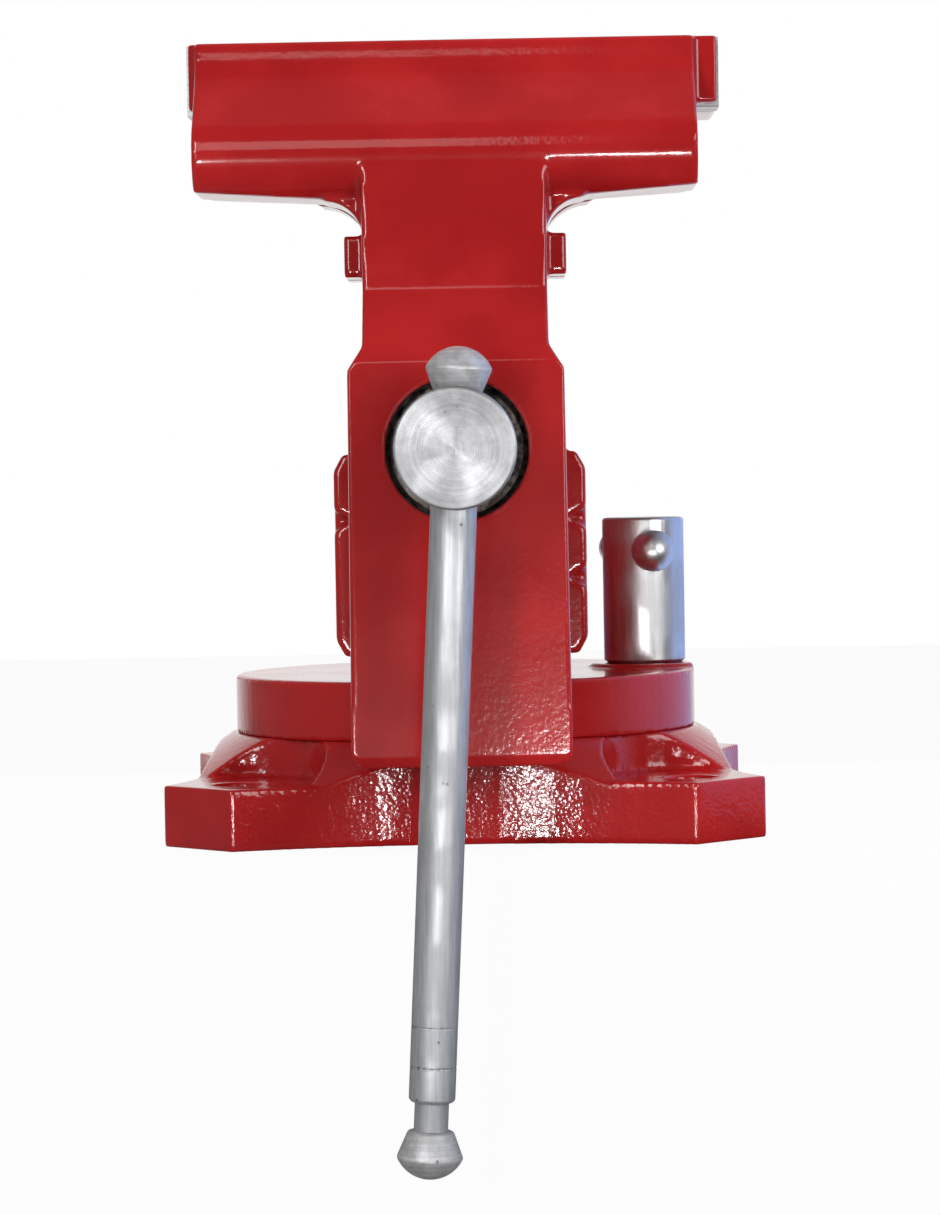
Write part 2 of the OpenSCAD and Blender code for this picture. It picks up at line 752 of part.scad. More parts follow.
module lock_bolt() {
    foot = base_floor + 1;
    color("silver") in_lock_frame() difference() {
        union() {
            translate([0, 0, boss_top]) cylinder(d = lock_d, h = lock_h);
            translate([0, 0, foot]) cylinder(d = lock_thread_d, h = boss_top - foot + 1);
        }
        rod_y(cross_d + 2 * clearance, -lock_d, lock_d, 0, cross_z);
    }
}

module lock_tee_nut() {
    low = base_floor + groove_h - tee_h;
    color("dimgray") in_lock_frame() rotate(lock_angle - cross_turn) difference() {
        union() {
            translate([-tee_w / 2, -tee_w / 2, low]) cube([tee_w, tee_w, tee_h - clearance]);
            translate([0, 0, low]) cylinder(d = groove_w - 2 * clearance, h = tee_h + tee_neck_h);
        }
        translate([0, 0, low - 1]) cylinder(d = lock_thread_d + 2 * running_fit, h = base_h);
    }
}

cross_front = -lock_d / 2 - 0.1;

module lock_bar() {
    color("silver") in_lock_frame() rod_y(cross_d, cross_front, cross_front + cross_len, 0, cross_z);
}

// Knob of the cross bar with its base at y = 0, pointing along -Y
module cross_knob() {
    r = cross_knob_d / 2;
    dome_h = 3;
    rotate([90, 0, 0]) rotate_extrude()
        polygon(concat([[0, 0], [r, 0]], dome(r, dome_h, cross_knob_len - dome_h)));
}

module lock_knob_front() {
    color("silver") in_lock_frame() translate([0, cross_front, cross_z]) cross_knob();
}

module lock_knob_rear() {
    color("silver") in_lock_frame() translate([0, cross_front + cross_len, cross_z]) rotate(180) cross_knob();
}

swivel_base();
pivot_bolt();
pivot_washer();
body_casting();
rear_jaw_plate();
rear_jaw_screws();
spindle_nut();
nut_bolt();
front_jaw_casting();
front_jaw_plate();
front_jaw_screws();
thrust_washer();
spindle_spring();
spring_washer();
retaining_pin();
spindle_screw();
handle_bar();
handle_knob_upper();
handle_knob_lower();
lock_bolt();
lock_tee_nut();
lock_bar();
lock_knob_front();
lock_knob_rear();
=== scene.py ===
# %% [markdown]
# # A bench vise with a swivel base
#
# The vise has three red iron castings: a base that bolts to the bench, a body that turns on it, and a
# front jaw whose beam slides through the body. A steel spindle with a loose handle draws the jaws together,
# and a steel lock bolt with a small cross bar clamps the turntable. The solids come from a CAD model,
# which fixes every size and joint. This lesson dresses them: it makes soft cast edges, a real thread,
# turned steel and enamel, and then lights the vise as in a small studio.

import json
import math

import bmesh
import bpy
from mathutils import Matrix, Vector


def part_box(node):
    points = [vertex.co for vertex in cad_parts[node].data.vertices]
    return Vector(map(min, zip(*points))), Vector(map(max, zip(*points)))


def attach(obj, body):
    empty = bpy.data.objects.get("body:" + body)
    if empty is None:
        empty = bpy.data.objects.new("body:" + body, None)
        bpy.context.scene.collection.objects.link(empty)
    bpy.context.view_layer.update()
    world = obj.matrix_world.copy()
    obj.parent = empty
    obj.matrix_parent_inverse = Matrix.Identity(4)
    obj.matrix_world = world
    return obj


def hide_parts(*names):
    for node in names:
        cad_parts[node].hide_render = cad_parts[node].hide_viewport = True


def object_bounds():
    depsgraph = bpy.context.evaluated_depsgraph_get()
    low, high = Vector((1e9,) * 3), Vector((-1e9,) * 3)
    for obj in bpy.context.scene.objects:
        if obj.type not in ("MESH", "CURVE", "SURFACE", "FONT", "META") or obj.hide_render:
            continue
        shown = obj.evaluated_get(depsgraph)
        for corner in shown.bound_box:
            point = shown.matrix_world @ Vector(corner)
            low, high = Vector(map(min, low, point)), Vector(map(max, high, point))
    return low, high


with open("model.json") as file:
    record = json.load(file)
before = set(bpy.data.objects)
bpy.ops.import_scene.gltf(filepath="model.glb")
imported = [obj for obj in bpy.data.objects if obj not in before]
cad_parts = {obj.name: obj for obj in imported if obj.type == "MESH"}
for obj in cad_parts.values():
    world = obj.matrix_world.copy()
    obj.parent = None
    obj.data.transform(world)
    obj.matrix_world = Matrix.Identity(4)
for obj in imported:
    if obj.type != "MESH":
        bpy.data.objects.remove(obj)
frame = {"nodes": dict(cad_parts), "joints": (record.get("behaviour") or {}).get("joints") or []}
cad_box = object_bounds()
MM = 0.001
print("box in mm:", [[round(c / MM, 1) for c in corner] for corner in cad_box])

# %% [markdown]
# ## Places that the pieces share
#
# Typing positions by hand would break as soon as the CAD model changes. So each place is read from the box
# of a CAD node: the spindle's axis is the middle of its thrust washer, and the handle's direction is the
# direction in which its joint slides.

# %% Read the axes of the spindle, the handle and the lock bolt
def middle(node):
    low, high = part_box(node)
    return (low + high) / 2


def joint_axis(name):
    return Vector(next(j for j in frame["joints"] if j["name"] == name)["axis"]).normalized()


def reach(node, origin, axis):
    """How far a node goes along an axis from a point, and its largest distance from that axis."""
    offsets = [v.co - origin for v in frame["nodes"][node].data.vertices]
    spans = [o.dot(axis) for o in offsets]
    return min(spans), max(spans), max((o - axis * o.dot(axis)).length for o in offsets)


washer = middle("thrust_washer")
spindle_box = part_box("spindle_screw")
spindle_axis = Vector((0, 1, 0))
spindle_face = Vector((washer.x, spindle_box[0].y, washer.z))
handle_axis = joint_axis("handle_slide")
handle_origin = Vector((washer.x, middle("handle_bar").y, washer.z))
lock_axis = Vector((0, 0, 1))
lock_origin = Vector((*middle("lock_bolt").xy, 0))
cross_axis = joint_axis("lock_bar_slide")
cross_origin = Vector((*lock_origin.xy, middle("lock_bar").z))
print("spindle axis at z =", round(spindle_face.z / MM, 1), "mm; handle leans",
      round(math.degrees(handle_axis.angle(lock_axis)), 1), "degrees")

# %% [markdown]
# ## Small tools for materials
#
# Every finish here is a node tree. Two helpers keep the cells short: one adds a node and fills its inputs,
# and one makes a node group. A group is an effect that several materials share, such as the skin of a
# casting, so it is built once and each material gives it its own values.

# %% Helpers that build node trees
def add(tree, kind, inputs=None, **settings):
    """Adds a shader node. An input is a number, a colour, or the output of another node."""
    node = tree.nodes.new("ShaderNode" + kind)
    for name, value in settings.items():
        setattr(node, name, value)
    for name, value in (inputs or {}).items():
        socket = node.inputs[name]
        if isinstance(value, bpy.types.NodeSocket):
            tree.links.new(value, socket)
        else:
            socket.default_value = value
    return node


def combine(tree, operation, a, b=0.0):
    return add(tree, "Math", {0: a, 1: b}, operation=operation).outputs[0]


def ramp(tree, value, low, high, start=0.0, end=1.0):
    """Maps low..high to start..end with soft ends, and holds still outside."""
    node = add(tree, "MapRange", {"Value": value, "From Min": low, "From Max": high, "To Min": start, "To Max": end},
               interpolation_type="SMOOTHSTEP")
    return node.outputs["Result"]


def blend_colours(tree, factor, a, b, mode="MIX"):
    node = tree.nodes.new("ShaderNodeMix")
    node.data_type, node.blend_type = "RGBA", mode
    for socket, value in zip((node.inputs[0], node.inputs[6], node.inputs[7]), (factor, a, b)):
        if isinstance(value, bpy.types.NodeSocket):
            tree.links.new(value, socket)
        else:
            socket.default_value = value
    return node.outputs[2]


def new_group(name, inputs, outputs):
    """Makes an empty node group with named float inputs, and returns its tree, its input and its output node."""
    tree = bpy.data.node_groups.new(name, "ShaderNodeTree")
    for label, value in inputs.items():
        tree.interface.new_socket(label, in_out="INPUT", socket_type="NodeSocketFloat").default_value = value
    for label in outputs:
        tree.interface.new_socket(label, in_out="OUTPUT", socket_type="NodeSocketFloat")
    return tree, tree.nodes.new("NodeGroupInput"), tree.nodes.new("NodeGroupOutput")


def use_group(tree, group, **values):
    node = tree.nodes.new("ShaderNodeGroup")
    node.node_tree = group
    for label, value in values.items():
        node.inputs[label.replace("_", " ")].default_value = value
    return node


def object_place(tree):
    """Coordinates that stay with the piece when it moves."""
    return add(tree, "TexCoord").outputs["Object"]


def brightest(tree, *values):
    result = values[0]
    for value in values[1:]:
        result = combine(tree, "MAXIMUM", result, value)
    return result


def noise(tree, scale, detail=2.0, roughness=0.5, vector=None):
    inputs = {"Vector": vector or object_place(tree), "Scale": scale, "Detail": detail, "Roughness": roughness}
    return add(tree, "TexNoise", inputs).outputs["Fac"]


print("node helpers ready")

# %% [markdown]
# ## Group: the skin of a casting
#
# Sand leaves small grains and shallow dimples on cast iron, and thick enamel rounds them over. Two noises
# and a cell pattern give that relief. The grains are near 1 mm and the dimples near 4 mm, and a light held
# at a low angle breaks up into glints on them.

# %% Build the cast skin group
cast_skin, skin_in, skin_out = new_group("cast_skin", {"Grain": 1100.0, "Dimple": 380.0}, ["Height", "Blotch"])
grain = add(cast_skin, "TexNoise",
            {"Vector": object_place(cast_skin), "Scale": skin_in.outputs["Grain"], "Detail": 3.0})
cells = add(cast_skin, "TexVoronoi", {"Vector": object_place(cast_skin), "Scale": skin_in.outputs["Grain"]})
dimple = add(cast_skin, "TexNoise",
             {"Vector": object_place(cast_skin), "Scale": skin_in.outputs["Dimple"], "Detail": 1.0})
rough_part = combine(cast_skin, "MULTIPLY",
                     combine(cast_skin, "SUBTRACT", grain.outputs["Fac"], cells.outputs["Distance"]), 0.45)
cast_skin.links.new(combine(cast_skin, "ADD", rough_part, dimple.outputs["Fac"]), skin_out.inputs["Height"])
cast_skin.links.new(ramp(cast_skin, noise(cast_skin, 38.0, 4.0), 0.35, 0.68), skin_out.inputs["Blotch"])
print("group", cast_skin.name, "has", len(cast_skin.nodes), "nodes")

# %% [markdown]
# ## Group: edges with wear and a painted highlight, and crevices with painted shade
#
# Enamel thins and chips where an edge sticks out, and the pale colour given there is also a painted highlight along the
# edge. Where two faces meet, a darker red is painted as shade. Blender knows both places on a fine mesh from
# Pointiness, which is above a half on an outer edge and below it in a corner. A noise breaks the line, so that no edge
# wears evenly and no highlight runs evenly.

# %% Build the group for edge wear, edge highlight and crevice shade
edge_wear_highlight_shade, edge_in, edge_out = new_group("edge_wear_highlight_shade", {"Edge": 0.56, "Crevice Shade": 0.44, "Spread": 0.05},
                                          ["Worn", "Crevice Shade"])
pointed = add(edge_wear_highlight_shade, "NewGeometry").outputs["Pointiness"]
broken = ramp(edge_wear_highlight_shade, noise(edge_wear_highlight_shade, 120.0, 5.0, 0.6), 0.3, 0.62, 0.25, 1.0)
edge_end = combine(edge_wear_highlight_shade, "ADD", edge_in.outputs["Edge"], edge_in.outputs["Spread"])
crevice_end = combine(edge_wear_highlight_shade, "SUBTRACT", edge_in.outputs["Crevice Shade"], edge_in.outputs["Spread"])
# Outer-edge mask, for wear and for a painted highlight along the edge
edge_rim = ramp(edge_wear_highlight_shade, pointed, edge_in.outputs["Edge"], edge_end)
edge_wear_highlight_shade.links.new(combine(edge_wear_highlight_shade, "MULTIPLY", edge_rim, broken), edge_out.inputs["Worn"])
# Crevice mask, for painted shade where two faces meet
edge_wear_highlight_shade.links.new(ramp(edge_wear_highlight_shade, pointed, edge_in.outputs["Crevice Shade"], crevice_end), edge_out.inputs["Crevice Shade"])
print("group", edge_wear_highlight_shade.name, "has", len(edge_wear_highlight_shade.nodes), "nodes")

# %% [markdown]
# ## Group: wear on steel
#
# Bare and zinc plated steel picks up long fine scratches, dull stains and a few dark nicks. The scratches
# are a noise that is squeezed across one axis, so each material says which way its scratches run.

# %% Build the steel wear group
steel_wear, wear_in, wear_out = new_group(
    "steel_wear", {"Across X": 900.0, "Across Y": 900.0, "Across Z": 900.0, "Stain": 110.0},
    ["Scratch", "Stain", "Nick"])
squeeze = add(steel_wear, "CombineXYZ", {a: wear_in.outputs["Across " + a] for a in "XYZ"}).outputs[0]
drawn = add(steel_wear, "VectorMath", {0: object_place(steel_wear), 1: squeeze}, operation="MULTIPLY").outputs[0]
scratch = noise(steel_wear, 1.0, 3.0, 0.65, drawn)
stain = add(steel_wear, "TexNoise",
            {"Vector": object_place(steel_wear), "Scale": wear_in.outputs["Stain"], "Detail": 5.0}).outputs["Fac"]
nick = add(steel_wear, "TexVoronoi",
           {"Vector": object_place(steel_wear), "Scale": 330.0, "Randomness": 1.0}).outputs["Distance"]
steel_wear.links.new(ramp(steel_wear, scratch, 0.3, 0.72), wear_out.inputs["Scratch"])
steel_wear.links.new(ramp(steel_wear, stain, 0.38, 0.66), wear_out.inputs["Stain"])
steel_wear.links.new(combine(steel_wear, "MULTIPLY", ramp(steel_wear, nick, 0.16, 0.06),
                             ramp(steel_wear, stain, 0.5, 0.6)),
                     wear_out.inputs["Nick"])
print("group", steel_wear.name, "has", len(steel_wear.nodes), "nodes")

# %% [markdown]
# ## Group: marks of the lathe
#
# A lathe tool leaves rings round the axis of what it turns. The distance from that axis drives two waves
# of rings, fine and coarse, which a slow noise makes uneven. The axis is given as a point and as which of
# the three directions counts, so that the rings can lie on an end face or run round a bar.

# %% Build the lathe marks group
lathe_marks, lathe_in, lathe_out = new_group(
    "lathe_marks",
    {"Centre X": 0.0, "Centre Y": 0.0, "Centre Z": 0.0, "Use X": 1.0, "Use Y": 0.0, "Use Z": 1.0, "Pitch": 0.00045},
    ["Height", "Tone"])
centre = add(lathe_marks, "CombineXYZ", {a: lathe_in.outputs["Centre " + a] for a in "XYZ"}).outputs[0]
mask = add(lathe_marks, "CombineXYZ", {a: lathe_in.outputs["Use " + a] for a in "XYZ"}).outputs[0]
offset = add(lathe_marks, "VectorMath", {0: object_place(lathe_marks), 1: centre}, operation="SUBTRACT").outputs[0]
offset = add(lathe_marks, "VectorMath", {0: offset, 1: mask}, operation="MULTIPLY").outputs[0]
distance = add(lathe_marks, "VectorMath", {0: offset}, operation="LENGTH").outputs["Value"]
turns = combine(lathe_marks, "DIVIDE", distance, lathe_in.outputs["Pitch"])
coarse = add(lathe_marks, "TexNoise", {"W": turns, "Scale": 0.45, "Detail": 3.0}, noise_dimensions="1D").outputs["Fac"]
fine = combine(lathe_marks, "SINE", combine(lathe_marks, "MULTIPLY", turns, 2 * math.pi))
lathe_marks.links.new(combine(lathe_marks, "ADD", coarse, combine(lathe_marks, "MULTIPLY", fine, 0.12)),
                      lathe_out.inputs["Height"])
lathe_marks.links.new(ramp(lathe_marks, coarse, 0.3, 0.7), lathe_out.inputs["Tone"])
print("group", lathe_marks.name, "has", len(lathe_marks.nodes), "nodes")

# %% [markdown]
# ## Red enamel over cast iron
#
# The castings wear a glossy red enamel. Where parts slide or turn, the iron is machined and bare: on the
# beam, in the body's tunnel, in the spindle's counterbore and on the anvil. One material holds both, and a
# mask made from the piece's own coordinates says where the bare iron shows.

# %% Make the enamel
RED_DEEP = (0.335, 0.008, 0.009, 1)
RED_BRIGHT = (0.430, 0.012, 0.013, 1)
RED_WEAR_AND_HIGHLIGHT = (0.62, 0.20, 0.19, 1)
IRON = (0.23, 0.225, 0.22, 1)
IRON_DARK = (0.025, 0.018, 0.016, 1)
IRON_RUSTY = (0.20, 0.165, 0.145, 1)


def new_material(name):
    material = bpy.data.materials.new(name)
    material.use_nodes = True
    return material, material.node_tree, material.node_tree.nodes["Principled BSDF"]


def feed(tree, shader, **sockets):
    """Joins outputs to the shader's inputs, or sets plain numbers there."""
    for label, value in sockets.items():
        socket = shader.inputs[label.replace("_", " ")]
        if isinstance(value, bpy.types.NodeSocket):
            tree.links.new(value, socket)
        else:
            socket.default_value = value


def bump(tree, height, strength, distance, under=None):
    inputs = {"Height": height, "Strength": strength, "Distance": distance}
    if under is not None:
        inputs["Normal"] = under
    return add(tree, "Bump", inputs).outputs["Normal"]


def inside(tree, xyz, **limits):
    """A mask that is 1 where the coordinates lie within limits in metres, such as y=(-0.04, 0.1)."""
    result = None
    for name, (low, high) in limits.items():
        value = xyz.outputs[name.upper()]
        part = combine(tree, "MULTIPLY", combine(tree, "GREATER_THAN", value, low),
                       combine(tree, "LESS_THAN", value, high))
        result = part if result is None else combine(tree, "MULTIPLY", result, part)
    return result


def enamel(name, bare_places=(), dark_bore=None, grain=1.0):
    """Red enamel. bare_places are boxes of machined iron, and dark_bore is (centre, radius, y limits) of an oily bore.

    grain is the share of the sand grain that shows: the base was cast the coarsest.
    """
    material, tree, shader = new_material(name)
    xyz = add(tree, "SeparateXYZ", {0: object_place(tree)})
    skin = use_group(tree, cast_skin)
    edges = use_group(tree, edge_wear_highlight_shade)
    colour = blend_colours(tree, skin.outputs["Blotch"], RED_DEEP, RED_BRIGHT)
    # Pale red on outer edges: rubbed, thin enamel, and also a painted highlight along each edge
    colour = blend_colours(tree, combine(tree, "MULTIPLY", edges.outputs["Worn"], 0.40), colour, RED_WEAR_AND_HIGHLIGHT)
    # Dark red where two faces meet: painted shade in the crevices
    colour = blend_colours(tree, combine(tree, "MULTIPLY", edges.outputs["Crevice Shade"], 0.6), colour,
                           (0.10, 0.008, 0.01, 1))
    rough = ramp(tree, skin.outputs["Blotch"], 0.0, 1.0, 0.22, 0.30)
    bare = brightest(tree, 0.0, *[inside(tree, xyz, **place) for place in bare_places])
    marks = use_group(tree, steel_wear, Across_X=1500.0, Across_Y=60.0, Across_Z=1500.0)
    iron = blend_colours(tree, marks.outputs["Scratch"], IRON, (0.36, 0.355, 0.35, 1))
    colour = blend_colours(tree, bare, colour, iron)
    rough = add(tree, "Mix", {0: bare, 2: rough, 3: 0.38}).outputs[0]
    if dark_bore:
        point, radius, (low, high) = dark_bore
        away = add(tree, "VectorMath", {0: object_place(tree), 1: tuple(point)}, operation="SUBTRACT").outputs[0]
        away = add(tree, "VectorMath", {0: away, 1: (1, 0, 1)}, operation="MULTIPLY").outputs[0]
        round_mask = combine(tree, "LESS_THAN",
                             add(tree, "VectorMath", {0: away}, operation="LENGTH").outputs["Value"], radius)
        dark = combine(tree, "MULTIPLY", round_mask, inside(tree, xyz, y=(low, high)))
        rusty = blend_colours(tree, ramp(tree, noise(tree, 420.0, 5.0, 0.7), 0.38, 0.66), IRON_DARK, IRON_RUSTY)
        colour = blend_colours(tree, dark, colour, rusty)
        rough = add(tree, "Mix", {0: dark, 2: rough, 3: 0.5}).outputs[0]
    coat = combine(tree, "MULTIPLY", combine(tree, "SUBTRACT", 1.0, bare), 0.8)
    facing = add(tree, "SeparateXYZ", {0: add(tree, "NewGeometry").outputs["Normal"]}).outputs["Z"]
    level = ramp(tree, combine(tree, "ABSOLUTE", facing), 0.90, 0.985)
    calm = brightest(tree, combine(tree, "MULTIPLY", bare, 0.9), combine(tree, "MULTIPLY", level, 0.88))
    relief = combine(tree, "MULTIPLY", combine(tree, "SUBTRACT", 1.0, calm), grain)
    height = combine(tree, "MULTIPLY", skin.outputs["Height"], relief)
    normal = bump(tree, height, 0.5, 0.00013)
    feed(tree, shader, Base_Color=colour, Roughness=rough, Metallic=bare, Specular_IOR_Level=0.06, Normal=normal,
         Coat_Weight=coat, Coat_Roughness=0.10, Coat_Normal=normal)
    return material


beam_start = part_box("front_jaw_plate")[0].y - 0.2 * MM
body_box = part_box("body_casting")
bore_radius = reach("thrust_washer", washer, spindle_axis)[2] + 1.1 * MM
TUNNEL_HALF, TUNNEL_LOW, TUNNEL_TOP = 18.5 * MM, 59.3 * MM, 100.6 * MM
ANVIL_HALF, ANVIL_TOP, ANVIL_FRONT, ANVIL_BACK = 16.4 * MM, 112.3 * MM, 18 * MM, 60 * MM
red_base = enamel("red_enamel_base")
red_body = enamel("red_enamel_body", [
    {"x": (-TUNNEL_HALF, TUNNEL_HALF), "z": (TUNNEL_LOW, TUNNEL_TOP),
     "y": (body_box[0].y - MM, body_box[1].y - 0.3 * MM)},
    {"x": (-ANVIL_HALF, ANVIL_HALF), "z": (ANVIL_TOP - 0.5 * MM, ANVIL_TOP + 5 * MM),
     "y": (ANVIL_FRONT, ANVIL_BACK)}], grain=0.4)
red_front = enamel("red_enamel_front",
                   [{"x": (-0.1, 0.1), "y": (beam_start + 0.6 * MM, 0.2), "z": (0, TUNNEL_TOP + 0.4 * MM)}],
                   (spindle_face, bore_radius, (spindle_face.y, washer.y + 3 * MM)), grain=0.3)
print("enamels:", red_base.name, red_body.name, red_front.name)

# %% [markdown]
# ## The steel finishes
#
# The spindle's head shows rings from the lathe, the handle is zinc plated and scuffed along its length, and
# the lock bolt has a satin plating. Small fasteners are plain zinc or black oxide. All of them are metals,
# so their colour is what they mirror, and roughness and fine relief carry the finish.

# %% Make the steels
def steel(name, light, dark, rough, across, nicks=0.7, rings=None, ring_height=0.00006, bands=None, ring_shine=None,
          metal=1.0):
    """Worn steel. across says how tightly the scratches are packed along X, Y and Z: the smallest is their direction.

    bands is (origin, axis, heights) of dark broken lines round a bar, and ring_shine is the axis of a face
    whose fine rings stretch its highlights.
    """
    material, tree, shader = new_material(name)
    marks = use_group(tree, steel_wear, Across_X=across[0], Across_Y=across[1], Across_Z=across[2])
    colour = blend_colours(tree, marks.outputs["Scratch"], (*dark, 1), (*light, 1))
    colour = blend_colours(tree, combine(tree, "MULTIPLY", marks.outputs["Stain"], 0.35), colour,
                           (*[c * 0.72 for c in dark], 1))
    colour = blend_colours(tree, combine(tree, "MULTIPLY", marks.outputs["Nick"], nicks), colour,
                           (0.06, 0.055, 0.05, 1))
    roughness = ramp(tree, marks.outputs["Stain"], 0.0, 1.0, rough, rough + 0.16)
    normal = bump(tree, marks.outputs["Scratch"], 0.6, 0.00003)
    if rings:
        turned = use_group(tree, lathe_marks, **rings)
        colour = blend_colours(tree, combine(tree, "MULTIPLY", turned.outputs["Tone"], 0.35), colour,
                               (*[c * 0.6 for c in dark], 1))
        normal = bump(tree, turned.outputs["Height"], 0.8, ring_height, normal)
    if bands:
        origin, axis, heights = bands
        from_origin = add(tree, "VectorMath", {0: object_place(tree), 1: tuple(origin)},
                          operation="SUBTRACT").outputs[0]
        along = add(tree, "VectorMath", {0: from_origin, 1: tuple(axis)}, operation="DOT_PRODUCT").outputs["Value"]
        near = [ramp(tree, combine(tree, "ABSOLUTE", combine(tree, "SUBTRACT", along, height)), 0.6 * MM, 0.1 * MM)
                for height in heights]
        broken = ramp(tree, noise(tree, 420.0, 4.0, 0.7), 0.48, 0.66, 0.0, 0.7)
        colour = blend_colours(tree, combine(tree, "MULTIPLY", brightest(tree, *near), broken), colour,
                               (0.09, 0.09, 0.085, 1))
    if ring_shine:
        tangent = add(tree, "Tangent", direction_type="RADIAL", axis=ring_shine)
        feed(tree, shader, Anisotropic=0.75, Anisotropic_Rotation=0.25, Tangent=tangent.outputs[0])
    feed(tree, shader, Base_Color=colour, Metallic=metal, Roughness=roughness, Normal=normal)
    return material


NECK_LENGTH, LINES = 6 * MM, (7.2 * MM, 15.4 * MM)
bar_shoulder = reach("handle_bar", handle_origin, handle_axis)[0] + NECK_LENGTH
head_rings = {"Centre_X": spindle_face.x, "Centre_Z": spindle_face.z, "Pitch": 0.5 * MM}
turned_steel = steel("turned_steel", (0.54, 0.54, 0.55), (0.40, 0.40, 0.41), 0.34, (420.0, 420.0, 420.0), nicks=0.35,
                     rings=head_rings, ring_height=0.00005, ring_shine="Y", metal=0.9)
handle_steel = steel("handle_steel", (0.62, 0.63, 0.65), (0.46, 0.47, 0.49), 0.44, (1100.0, 1100.0, 55.0),
                     bands=(handle_origin, handle_axis, [bar_shoulder + line for line in LINES]), metal=0.75)
knob_steel = steel("knob_steel", (0.70, 0.70, 0.71), (0.50, 0.50, 0.51), 0.48, (500.0, 500.0, 500.0), metal=0.6,
                   rings={"Centre_X": handle_origin.x, "Centre_Y": handle_origin.y, "Use_X": 0.0, "Use_Y": 0.0,
                          "Use_Z": 1.0, "Pitch": 0.4 * MM})
lock_steel = steel("lock_steel", (0.70, 0.70, 0.71), (0.60, 0.60, 0.61), 0.33, (900.0, 900.0, 90.0), nicks=0.0)
thread_steel = steel("thread_steel", (0.55, 0.55, 0.55), (0.36, 0.35, 0.34), 0.30, (300.0, 1200.0, 300.0))
zinc_steel = steel("zinc_steel", (0.62, 0.63, 0.65), (0.50, 0.51, 0.53), 0.30, (500.0, 500.0, 500.0), nicks=0.3)
black_steel = steel("black_steel", (0.055, 0.055, 0.058), (0.03, 0.03, 0.032), 0.36, (600.0, 600.0, 600.0), nicks=0.0)
oiled_steel = steel("oiled_steel", (0.20, 0.17, 0.15), (0.03, 0.024, 0.022), 0.42, (700.0, 700.0, 700.0), nicks=0.4)
plate_steel = steel("plate_steel", (0.55, 0.55, 0.56), (0.42, 0.42, 0.43), 0.32, (60.0, 1400.0, 1400.0), nicks=0.4)
nut_iron = steel("nut_iron", (0.30, 0.295, 0.29), (0.20, 0.195, 0.19), 0.45, (700.0, 200.0, 700.0))
print("steels made:", len([m for m in bpy.data.materials if "steel" in m.name]))

# %% [markdown]
# ## Castings with soft edges
#
# CAD solids have knife edges, but molten iron can't fill a sharp corner of a sand mould, and enamel rounds
# it further. Bevels would have to be set edge by edge. A voxel remesh is simpler and never fails: it wraps
# each solid in an even skin of small quads, and a few smoothing passes then melt every edge and corner by
# about a millimetre, outside and inside alike.

# %% Remesh and smooth the three castings
def place(piece, body, slot, *replaced):
    """Lets a piece ride on its body and hides the CAD nodes that it stands for. The slot argument is not used."""
    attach(piece, body)
    if replaced:
        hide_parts(*replaced)
    return piece


def settle(piece):
    """Turns a piece's modifiers into plain mesh."""
    bpy.context.view_layer.update()
    seen = piece.evaluated_get(bpy.context.evaluated_depsgraph_get())
    mesh = bpy.data.meshes.new_from_object(seen)
    piece.modifiers.clear()
    piece.data = mesh
    return mesh


def one_material(mesh, material):
    """Gives every face of a mesh the same material."""
    mesh.materials.clear()
    mesh.materials.append(material)
    for polygon in mesh.polygons:
        polygon.material_index = 0


def link_piece(name, mesh, material):
    piece = bpy.data.objects.new(name, mesh)
    bpy.context.scene.collection.objects.link(piece)
    one_material(mesh, material)
    return piece


def finish_mesh(work, name, sharp_angle=None):
    """Makes a mesh from an edited one. With an angle it is shaded smooth, but edges sharper than it stay crisp."""
    bmesh.ops.recalc_face_normals(work, faces=work.faces)
    mesh = bpy.data.meshes.new(name)
    work.to_mesh(mesh)
    work.free()
    if sharp_angle:
        mesh.shade_smooth()
        mesh.set_sharp_from_angle(angle=math.radians(sharp_angle))
    return mesh


def cast(name, node, material, voxel, passes):
    piece = link_piece(name, frame["nodes"][node].data.copy(), material)
    remesh = piece.modifiers.new("sand_mould", "REMESH")
    remesh.mode, remesh.voxel_size, remesh.use_smooth_shade = "VOXEL", voxel, True
    melt = piece.modifiers.new("soft_edges", "SMOOTH")
    melt.factor, melt.iterations = 0.5, passes
    mesh = settle(piece)
    one_material(mesh, material)
    mesh.shade_smooth()
    print(name, "has", len(mesh.polygons), "faces")
    return piece


voxel = 0.62 * MM
front_casting = cast("front_jaw", "front_jaw_casting", red_front, voxel, 4)
place(front_casting, "front_jaw", "casting_red", "front_jaw_casting")
body_casting = cast("vise_body", "body_casting", red_body, voxel, 4)
place(body_casting, "vise_body", "casting_red", "body_casting")
base_casting = cast("bench_base", "swivel_base", red_base, voxel, 4)
place(base_casting, "base", "casting_red", "swivel_base")

# %% [markdown]
# ## Turned pieces
#
# Knobs, bars and bolts are made on a lathe, so the script makes them in the same way: a half outline turns
# about an axis. The outline's corners are first rounded, because a turned edge is always broken with a
# file, and that small round is what catches the light.

# %% Turn an outline about an axis
def soften(outline, radius):
    """Rounds the corners of an outline of (radius, distance) points."""
    points = [Vector(p) for p in outline]
    result = [points[0]]
    for before, here, after in zip(points, points[1:], points[2:]):
        r = min(radius, (before - here).length * 0.45, (after - here).length * 0.45)
        a, b = here + (before - here).normalized() * r, here + (after - here).normalized() * r
        for t in (0.0, 0.25, 0.5, 0.75, 1.0):
            result.append(a * (1 - t) ** 2 + here * 2 * t * (1 - t) + b * t ** 2)
    return result + [points[-1]]


